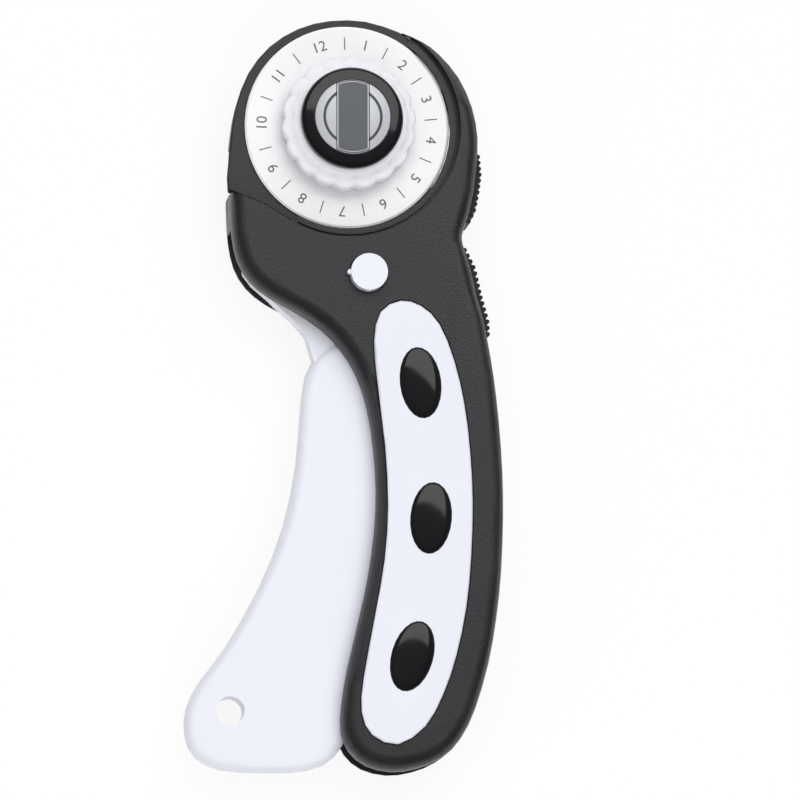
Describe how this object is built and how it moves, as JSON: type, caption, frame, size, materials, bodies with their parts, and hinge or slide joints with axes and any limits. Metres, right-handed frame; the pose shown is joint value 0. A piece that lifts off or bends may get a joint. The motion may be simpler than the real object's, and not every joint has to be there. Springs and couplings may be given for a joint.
{
  "type": "rotary cutter",
  "caption": "Hand-held wheel cutter: a round blade clamped by a fluted knob, a black two-shell grip, and a white squeeze lever that draws back the blade guard.",
  "frame": {"origin": "centre of the footprint on the plane the tool lies on, rear face down", "axes": "+Y from the handle's end towards the blade, +Z out of the front face along the blade axis, +X towards the ribbed spine"},
  "size_m": [0.0692, 0.1658, 0.0283],
  "materials": {
    "front_shell": "satin",
    "rear_shell": "satin",
    "front_inlay": "gloss",
    "rear_inlay": "gloss",
    "front_grip_stud_upper": "high gloss",
    "front_grip_stud_middle": "high gloss",
    "front_grip_stud_lower": "high gloss",
    "rear_grip_stud_upper": "high gloss",
    "rear_grip_stud_middle": "high gloss",
    "rear_grip_stud_lower": "high gloss",
    "finger_pad_upper": "matt",
    "finger_pad_lower": "matt",
    "squeeze_lever": "satin",
    "lever_pivot_pin": "bright",
    "lever_return_spring": "bright",
    "guard_drive_pin": "bright",
    "blade_guard": "satin",
    "rotary_blade": "ground",
    "blade_bush": "turned",
    "blade_bolt": "plated",
    "spring_washer": "plated",
    "clamp_knob": "satin",
    "knob_thread_insert": "turned",
    "knob_cap": "high gloss",
    "cap_badge": "brushed",
    "lock_button": "satin",
    "button_friction_ring": "matt",
    "body_screw_1": "plated",
    "body_screw_2": "plated",
    "body_screw_3": "plated",
    "body_screw_4": "plated"
  },
  "bodies": {
    "handle": {"front_shell": "front_shell", "rear_shell": "rear_shell", "front_inlay": "front_inlay", "rear_inlay": "rear_inlay", "front_grip_stud_upper": "front_grip_stud_upper", "front_grip_stud_middle": "front_grip_stud_middle", "front_grip_stud_lower": "front_grip_stud_lower", "rear_grip_stud_upper": "rear_grip_stud_upper", "rear_grip_stud_middle": "rear_grip_stud_middle", "rear_grip_stud_lower": "rear_grip_stud_lower", "finger_pad_upper": "finger_pad_upper", "finger_pad_lower": "finger_pad_lower", "lever_pivot_pin": "lever_pivot_pin", "lever_return_spring": "lever_return_spring", "blade_bush": "blade_bush", "blade_bolt": "blade_bolt", "body_screw_1": "body_screw_1", "body_screw_2": "body_screw_2", "body_screw_3": "body_screw_3", "body_screw_4": "body_screw_4"},
    "lever": {"squeeze_lever": "squeeze_lever", "guard_drive_pin": "guard_drive_pin"},
    "guard": {"blade_guard": "blade_guard"},
    "blade": {"rotary_blade": "rotary_blade"},
    "washer": {"spring_washer": "spring_washer"},
    "knob": {"clamp_knob": "clamp_knob", "knob_thread_insert": "knob_thread_insert", "knob_cap": "knob_cap", "cap_badge": "cap_badge"},
    "button": {"lock_button": "lock_button", "button_friction_ring": "button_friction_ring"}
  },
  "joints": [
    {"name": "lever_squeeze", "type": "hinge", "parent": "handle", "child": "lever", "pos_m": [0.0209, 0.0422, 0.0095], "axis": [0, 0, 1], "range_deg": [0, 9], "stiffness_Nm_per_rad": 0.6, "springref_deg": -8.59, "deforming": ["lever_return_spring"]},
    {"name": "guard_slide", "type": "slide", "parent": "handle", "child": "guard", "axis": [0.7071, -0.7071, 0], "range_m": [0, 0.00548]},
    {"name": "blade_spin", "type": "hinge", "parent": "handle", "child": "blade", "pos_m": [0.0004, 0.0587, 0.01605], "axis": [0, 0, 1], "continuous": true},
    {"name": "knob_lift", "type": "slide", "parent": "handle", "child": "washer", "axis": [0, 0, 1], "range_m": [0, 0.0016]},
    {"name": "knob_turn", "type": "hinge", "parent": "washer", "child": "knob", "pos_m": [0.0004, 0.0587, 0.02], "axis": [0, 0, 1], "range_deg": [0, 720]},
    {"name": "lock_push", "type": "slide", "parent": "handle", "child": "button", "axis": [0, 0, -1], "range_m": [0, 0.0025]}
  ],
  "couplings": [
    {"joint": "guard_slide", "follows": "lever_squeeze", "m_per_rad": 0.034861},
    {"joint": "knob_lift", "follows": "knob_turn", "m_per_rad": 0.00012732}
  ]
}
